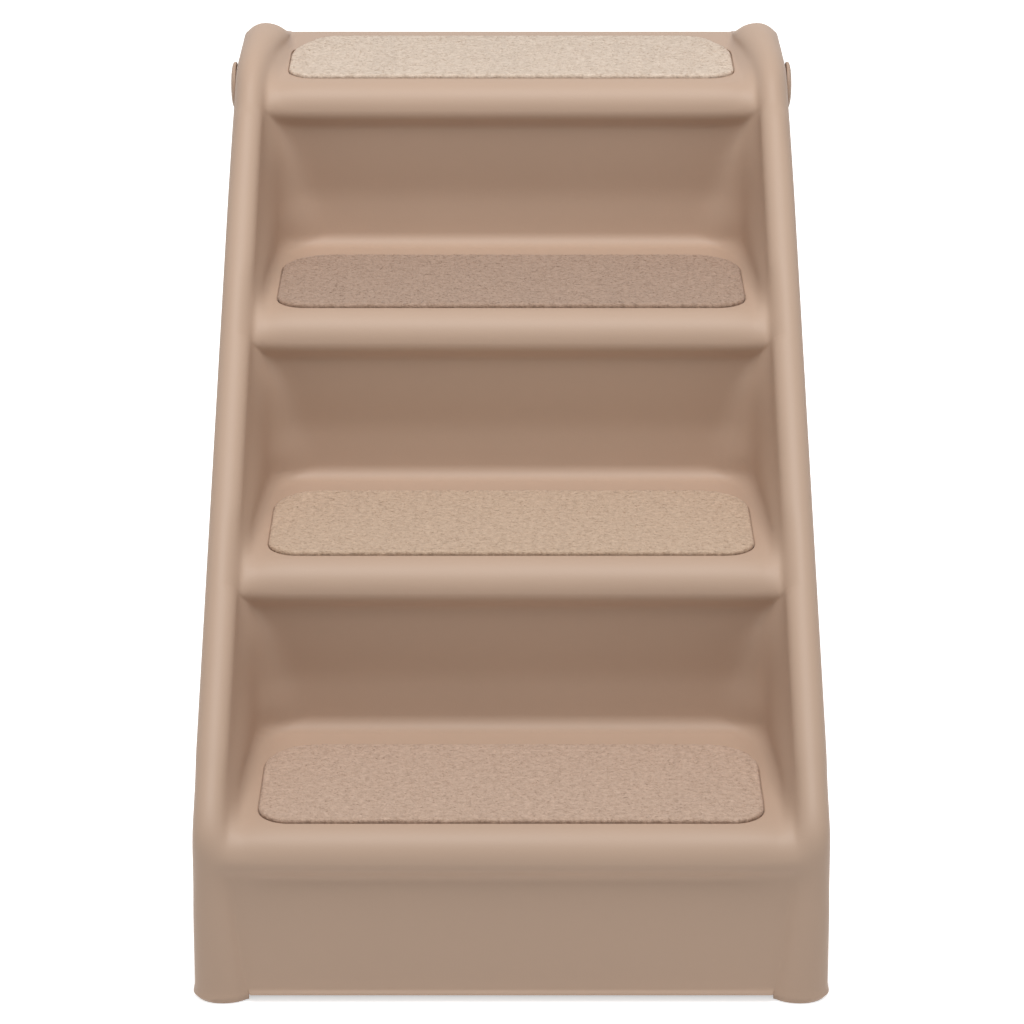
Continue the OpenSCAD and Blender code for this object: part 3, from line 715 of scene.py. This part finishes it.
outer_boss = turned("boss_plates", [
    (189.5, BORE_R), (189.5, 19.6), (192.2, 19.4), (192.7, 18.3), (193.3, 17.6), (194.0, BOSS_R),
    (194.3, 17.3), (194.4, 16.9), (194.4, BORE_R + 0.6), (194.0, BORE_R)],
    PIVOT_Y, PIVOT_Z, closed=True)
inner_boss = turned("boss_barrels", [
    (190.5, BORE_R), (190.5, 20.5), (188.4, 19.2), (187.3, 18.0), (186.0, BOSS_R), (177.7, BOSS_R),
    (177.2, 17.3), (177.0, 16.8), (177.0, BORE_R + 0.6), (177.6, BORE_R)],
    PIVOT_Y, PIVOT_Z, closed=True)
for boss in (outer_boss, inner_boss):
    dress(boss, taupe, "stairs", "stair_shell")


# The foot plates and rear flanges: flat lands moulded inside the sides. The plates carry the
# rubber feet under the columns, and the flanges stiffen the open rear edges of the sides.
PLATE = (162.0, 196.0, 16.5, 96.5)
PLATE_R = 6.0
# a flange is a strip between two depths, and its inner edge is rounded
FLANGE_Y = (598.6, 601.8)
FLANGE_EDGE = [(183.6, 601.8), (183.0, 601.2), (182.8, 600.2), (183.0, 599.2)]


def plate_plan(inset, radius, z, side):
    """Plan of a foot plate at one height, as points in the drawing's millimetres."""
    x0, x1, y0, y1 = PLATE[0] + inset, PLATE[1] - inset, PLATE[2] + inset, PLATE[3] - inset
    corners = [(spot, radius) for spot in ((x0, y0), (x1, y0), (x1, y1), (x0, y1))]
    return [(side * x, y, z) for x, y in rounded_plan(corners, 15.0)]


land_bm = bmesh.new()
for side in (-1, 1):
    stacked(land_bm, [plate_plan(inset, PLATE_R - inset, z, side)
                      for inset, z in ((0.6, 1.5), (0.0, 2.1), (0.0, 6.9), (0.6, 7.5))])
    flange = []
    for z in np.linspace(on_line(skirt_line, y=REAR)[1] + 16, TOP - 28, 9):
        x1 = half_width(z) - 1.2
        plan = [(183.6, FLANGE_Y[0]), (x1, FLANGE_Y[0]), (x1, FLANGE_Y[1])] + FLANGE_EDGE
        flange.append([(side * x, y, z) for x, y in plan])
    stacked(land_bm, flange)
bmesh.ops.recalc_face_normals(land_bm, faces=land_bm.faces)
lands = piece_from("inner_lands", land_bm)
finish_mesh(lands, 50)
dress(lands, taupe, "stairs", "stair_shell")


# The carpets: four pads of needled felt, cut with round corners and glued into their recesses.
# The cut edge stands a little proud and frays, most of all along the front. Short loose fibres
# lie on the felt, scattered and turned by Geometry Nodes.
FELT_DARK, FELT_LIGHT = (0.44, 0.325, 0.25), (0.66, 0.52, 0.425)
# a tone for each pad from the lowest up, set so that the main view looks like the picture:
# whether the real felts differ, or only the light on them does, isn't known
PAD_TONES = [(0.96, 0.90, 0.86), (1.0, 0.96, 0.88), (0.76, 0.69, 0.65), (1.24, 1.33, 1.36)]
FIBRES_PER_M2, FIBRE_LENGTH, FIBRE_WIDTH = 340000.0, 0.0027, 0.00042
# the felt fills its recess so much further than the plain pad of the CAD model
PAD_FILL = 0.3
EDGE_SPOTS = 620
# the cut edge from the recess floor up to the felt's top, as distance in and height in millimetres
EDGE_RINGS = [(0.0, -1.6), (0.0, 0.9), (0.25, 1.7), (0.9, 2.25), (2.2, 2.4), (5.0, 2.4)]


def felt_like(name, tone):
    """Needled felt: mottled, slightly streaked across, with a faint sheen from loose fibres."""
    mat, tree, surface = new_finish(name, {"Roughness": 0.95, "Specular IOR Level": 0.15,
                                           "Sheen Weight": 0.25, "Sheen Roughness": 0.5})
    mottle = add(tree, "ShaderNodeGroup", {
        "Grain Size": 900.0, "Cloud Size": 330.0, "Stretch": (0.75, 1.0, 1.0)}, node_tree=grain)
    mixer = add(tree, "ShaderNodeMix", {"Factor": 0.5}, data_type="FLOAT")
    ramp = add(tree, "ShaderNodeValToRGB")
    elements = ramp.color_ramp.elements
    for element, place, colour in zip(elements, (0.3, 0.7), (FELT_DARK, FELT_LIGHT)):
        element.position = place
        element.color = tuple(min(c * k, 0.95) for c, k in zip(colour, tone)) + (1.0,)
    bump = add(tree, "ShaderNodeBump", {"Strength": 0.8, "Distance": 0.0008})
    wire(tree, (mottle, "Height", mixer, "A"), (mottle, "Clouds", mixer, "B"),
         (mixer, "Result", ramp, "Fac"), (ramp, "Color", surface, "Base Color"),
         (mottle, "Height", bump, "Height"), (bump, "Normal", surface, "Normal"))
    return mat


fibre_tree, fibre_keys, f_in, f_out = node_tree_with("felt_fibres", (
    ("Fibres per Square Metre", "Float"), ("Fibre Length", "Float"), ("Fibre Width", "Float"),
    ("Lot", "Int"), ("Finish", "Material")))
f_way = add(fibre_tree, "GeometryNodeInputNormal")
f_split = add(fibre_tree, "ShaderNodeSeparateXYZ")
f_top = add(fibre_tree, "FunctionNodeCompare", {"B": 0.3}, operation="GREATER_THAN")
f_spread = add(fibre_tree, "GeometryNodeDistributePointsOnFaces")
f_turn = add(fibre_tree, "FunctionNodeRandomValue",
             {0: (-0.2, -0.22, 0.0), 1: (0.2, 0.22, 2 * math.pi)}, data_type="FLOAT_VECTOR")
f_size = add(fibre_tree, "FunctionNodeRandomValue", {2: 0.55, 3: 1.2})
f_ball = add(fibre_tree, "GeometryNodeMeshUVSphere", {"Segments": 3, "Rings": 2, "Radius": 0.5})
f_shape = add(fibre_tree, "ShaderNodeCombineXYZ")
f_lie = add(fibre_tree, "GeometryNodeTransform", {"Rotation": (0.0, math.pi / 2, 0.0)})
f_put = repeated(fibre_tree, (f_in, f_out), (f_spread, "Points"), (f_lie, 0))
wire(fibre_tree, (f_in, "Geometry", f_spread, "Mesh"), (f_way, 0, f_split, 0),
     (f_split, "Z", f_top, "A"), (f_top, 0, f_spread, "Selection"),
     (f_in, "Fibres per Square Metre", f_spread, "Density"), (f_in, "Lot", f_spread, "Seed"),
     (f_in, "Lot", f_turn, "Seed"), (f_in, "Lot", f_size, "Seed"),
     (f_in, "Fibre Width", f_shape, "X"), (f_in, "Fibre Width", f_shape, "Y"),
     (f_in, "Fibre Length", f_shape, "Z"), (f_ball, 0, f_lie, "Geometry"),
     (f_shape, 0, f_lie, "Scale"), (f_turn, "Value", f_put, "Rotation"),
     (f_size, 1, f_put, "Scale"))

for n in range(STEPS):
    luck = np.random.default_rng(40 + n)
    z = (n + 1) * RISE
    plan = pad_outline(n, PAD_FILL, 10)
    # even spacing along the edge, so that the fray is even too
    closed = np.vstack([plan, plan[:1]])
    along = lengths_along(closed)
    edge = spot_at(closed, along, np.linspace(0, along[-1], EDGE_SPOTS, endpoint=False))
    out = np.roll(edge, -1, axis=0) - np.roll(edge, 1, axis=0)
    out = np.stack([out[:, 1], -out[:, 0]], axis=1) / np.linalg.norm(out, axis=1)[:, None]
    at_front = (edge[:, 1] < n * RUN + 30).astype(float)
    fray = luck.normal(0, 1, len(edge)) * (0.10 + 0.28 * at_front) - 0.35 * at_front
    pad_bm = bmesh.new()
    rings = []
    for inset, height in EDGE_RINGS:
        ripple = fray * (1.0 if inset < 1 else 0.3)
        ring = edge - out * (inset + np.clip(-ripple, -0.3, 0.9))[:, None]
        heights = z + height + luck.normal(0, 0.12, len(edge)) * (height > 0)
        rings.append([pad_bm.verts.new(p) for p in in_place(np.column_stack([ring, heights]))])
    bridge(pad_bm, rings)
    pad_bm.faces.new(rings[0][::-1])
    top_face = pad_bm.faces.new(rings[-1])
    bmesh.ops.triangulate(pad_bm, faces=[top_face])
    for face in pad_bm.faces:
        face.smooth = True
    pad = piece_from(f"carpet_{n + 1}", pad_bm)
    pile = placed(f"carpet_pile_{n + 1}", pad.data.copy())
    felt = felt_like(f"needled_felt_{n + 1}", PAD_TONES[n])
    run_tree(pile, fibre_tree, fibre_keys, {
        "Fibres per Square Metre": FIBRES_PER_M2, "Fibre Length": FIBRE_LENGTH,
        "Fibre Width": FIBRE_WIDTH, "Lot": 7 + n, "Finish": felt})
    dress(pile, felt, "stairs", f"carpet_pad_{n + 1}")
    dress(pad, felt, "stairs", f"carpet_pad_{n + 1}")


# The rear leg: an open frame of two posts and three bars, moulded in the same plastic as the
# steps but plainer and more matte. It hangs on the pivot pins by two ears.
leg_taupe = moulded_plastic("leg_plastic", (0.45, 0.32, 0.24), 0.6, 700.0, 0.0003)


def softened(node, body, width, finish):
    """A piece in a CAD node's own shape, its sharp edges rounded as they come out of a mould."""
    bm = bmesh.new()
    bm.from_mesh(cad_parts[node].data)
    bmesh.ops.remove_doubles(bm, verts=bm.verts, dist=1e-5)
    bmesh.ops.dissolve_limit(bm, angle_limit=math.radians(0.5), verts=bm.verts, edges=bm.edges)
    for face in bm.faces:
        face.smooth = True
    piece = piece_from(f"{node}_moulded", bm)
    rounding = piece.modifiers.new("rounded_edges", "BEVEL")
    rounding.width = width / 1000
    rounding.segments = 2
    rounding.limit_method = "ANGLE"
    rounding.angle_limit = math.radians(40)
    rounding.use_clamp_overlap = True
    even = piece.modifiers.new("flat_faces", "WEIGHTED_NORMAL")
    even.keep_sharp = True
    bake(piece)
    dress(piece, finish, body, node)
    return piece


softened("rear_leg", "leg", 1.0, leg_taupe)


# The pivot pins: domed plastic heads on the outside of the sides, on shanks that run through side
# and ear. A dark nylon ring is pressed on the inner end of each.
dome = [(197.5 + 2.39 * math.sin(math.radians(a)), 16.45 * math.cos(math.radians(a)) ** 0.8)
        for a in (6, 12, 20, 30, 42, 55, 68, 80)]
pins = turned("pivot_pins", [
    (160.25, 0), (160.25, 6.9), (160.6, 7.6), (161.2, 8.0), (194.4, 8.0), (194.4, 11.2),
    (194.7, 11.5), (195.9, 11.5), (195.9, 16.2), (196.05, 16.42), (196.3, 16.5), (197.3, 16.5),
    *dome, (199.9, 0)], PIVOT_Y, PIVOT_Z, 96)
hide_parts("pivot_pin_left")
dress(pins, taupe, "stairs", "pivot_pin_right")
clip_nylon = moulded_plastic("clip_nylon", (0.02, 0.019, 0.018), 0.45, 900.0, 0.0001)
clips = turned("pivot_clips", [
    (162.0, 8.6), (162.0, 10.9), (162.3, 11.3), (162.7, 11.5), (164.8, 11.5), (165.2, 11.3),
    (165.5, 10.9), (165.5, 8.6), (165.0, BORE_R), (162.5, BORE_R)],
    PIVOT_Y, PIVOT_Z, 48, closed=True)
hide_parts("pivot_clip_left")
dress(clips, clip_nylon, "stairs", "pivot_clip_right")


# The stays and their guides: flat plastic links, pinned to the posts, whose stubs slide in closed
# slots moulded inside the sides. They are of the leg's plastic.
for side, body in (("left", "left_stay"), ("right", "right_stay")):
    softened(f"stay_{side}", body, 0.7, leg_taupe)
    softened(f"guide_{side}", "stairs", 0.6, leg_taupe)


# The stay pins: turned steel with a zinc plate, pressed through the posts. The flat round heads
# keep the stays on.
STAY_PIN_Y, STAY_PIN_Z = 281.055 - FRONT, 255.913
zinc, zinc_tree, zinc_surface = new_finish("zinc_plate", {"Metallic": 1.0})
zinc_grain = add(zinc_tree, "ShaderNodeGroup", {"Grain Size": 500.0, "Cloud Size": 160.0},
                 node_tree=grain)
zinc_tint = add(zinc_tree, "ShaderNodeMix",
                {"A": (0.42, 0.43, 0.44, 1.0), "B": (0.54, 0.53, 0.5, 1.0)}, data_type="RGBA")
zinc_rough = add(zinc_tree, "ShaderNodeMapRange", {"To Min": 0.25, "To Max": 0.45})
wire(zinc_tree, (zinc_grain, "Clouds", zinc_tint, "Factor"),
     (zinc_tint, "Result", zinc_surface, "Base Color"),
     (zinc_grain, "Height", zinc_rough, "Value"),
     (zinc_rough, "Result", zinc_surface, "Roughness"))
stay_pins = turned("stay_pins", [
    (146.0, 0), (146.0, 4.3), (146.3, 4.8), (146.9, 5.0), (182.5, 5.0), (182.5, 6.7), (182.7, 7.0),
    (183.7, 7.0), (184.2, 6.6), (184.5, 5.8), (184.5, 2.6), (184.1, 2.1), (184.1, 0)],
    STAY_PIN_Y, STAY_PIN_Z, 48)
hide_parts("stay_pin_left")
dress(stay_pins, zinc, "leg", "stay_pin_right")


# The rubber feet: dark rubber blocks let into the plates under the columns and glued to the ends
# of the posts. Low ridges across the sole, repeated by Geometry Nodes, keep them from slipping.
SOLE, RIDGE_PITCH = 0.0008, 0.0045
RIDGE_SECTION = [(-0.0011, 0.0012), (-0.0011, 0.0003), (-0.0008, 0.00003),
                 (0.0008, 0.00003), (0.0011, 0.0003), (0.0011, 0.0012)]
rubber = moulded_plastic("foot_rubber", (0.03, 0.028, 0.026), 0.75, 600.0, 0.0003)
ridge_tree, ridge_keys, s_in, s_out = node_tree_with("sole_ridges", (
    ("Ridge Start", "Vector"), ("Ridge Pitch", "Float"), ("Ridge Count", "Int"),
    ("Finish", "Material")))
s_pitch = add(ridge_tree, "ShaderNodeCombineXYZ")
s_line = add(ridge_tree, "GeometryNodeMeshLine")
wire(ridge_tree, (s_in, "Ridge Pitch", s_pitch, "Y"), (s_in, "Ridge Count", s_line, "Count"),
     (s_in, "Ridge Start", s_line, "Start Location"), (s_pitch, 0, s_line, "Offset"))
repeated(ridge_tree, (s_in, s_out), (s_line, 0), (s_in, "Geometry"))
for node, body in (("front_foot_left", "stairs"), ("front_foot_right", "stairs"),
                   ("rear_foot_left", "leg"), ("rear_foot_right", "leg")):
    foot = softened(node, body, 0.5, rubber)
    for vertex in foot.data.vertices:
        if vertex.co.z < SOLE:
            vertex.co.z = SOLE
    low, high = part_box(node)
    half = (high.x - low.x) / 2 - 0.004
    bm = bmesh.new()
    ends = [[bm.verts.new((x, y, z)) for y, z in RIDGE_SECTION] for x in (-half, half)]
    bridge(bm, ends)
    bm.faces.new(ends[0][::-1])
    bm.faces.new(ends[1])
    ridges = piece_from(f"{node}_ridges", bm)
    count = int((high.y - low.y - 0.006) / RIDGE_PITCH) + 1
    start_y = (low.y + high.y) / 2 - (count - 1) * RIDGE_PITCH / 2
    run_tree(ridges, ridge_tree, ridge_keys, {
        "Ridge Start": ((low.x + high.x) / 2, start_y, 0.0), "Ridge Pitch": RIDGE_PITCH,
        "Ridge Count": count, "Finish": rubber})
    dress(ridges, rubber, body, node)
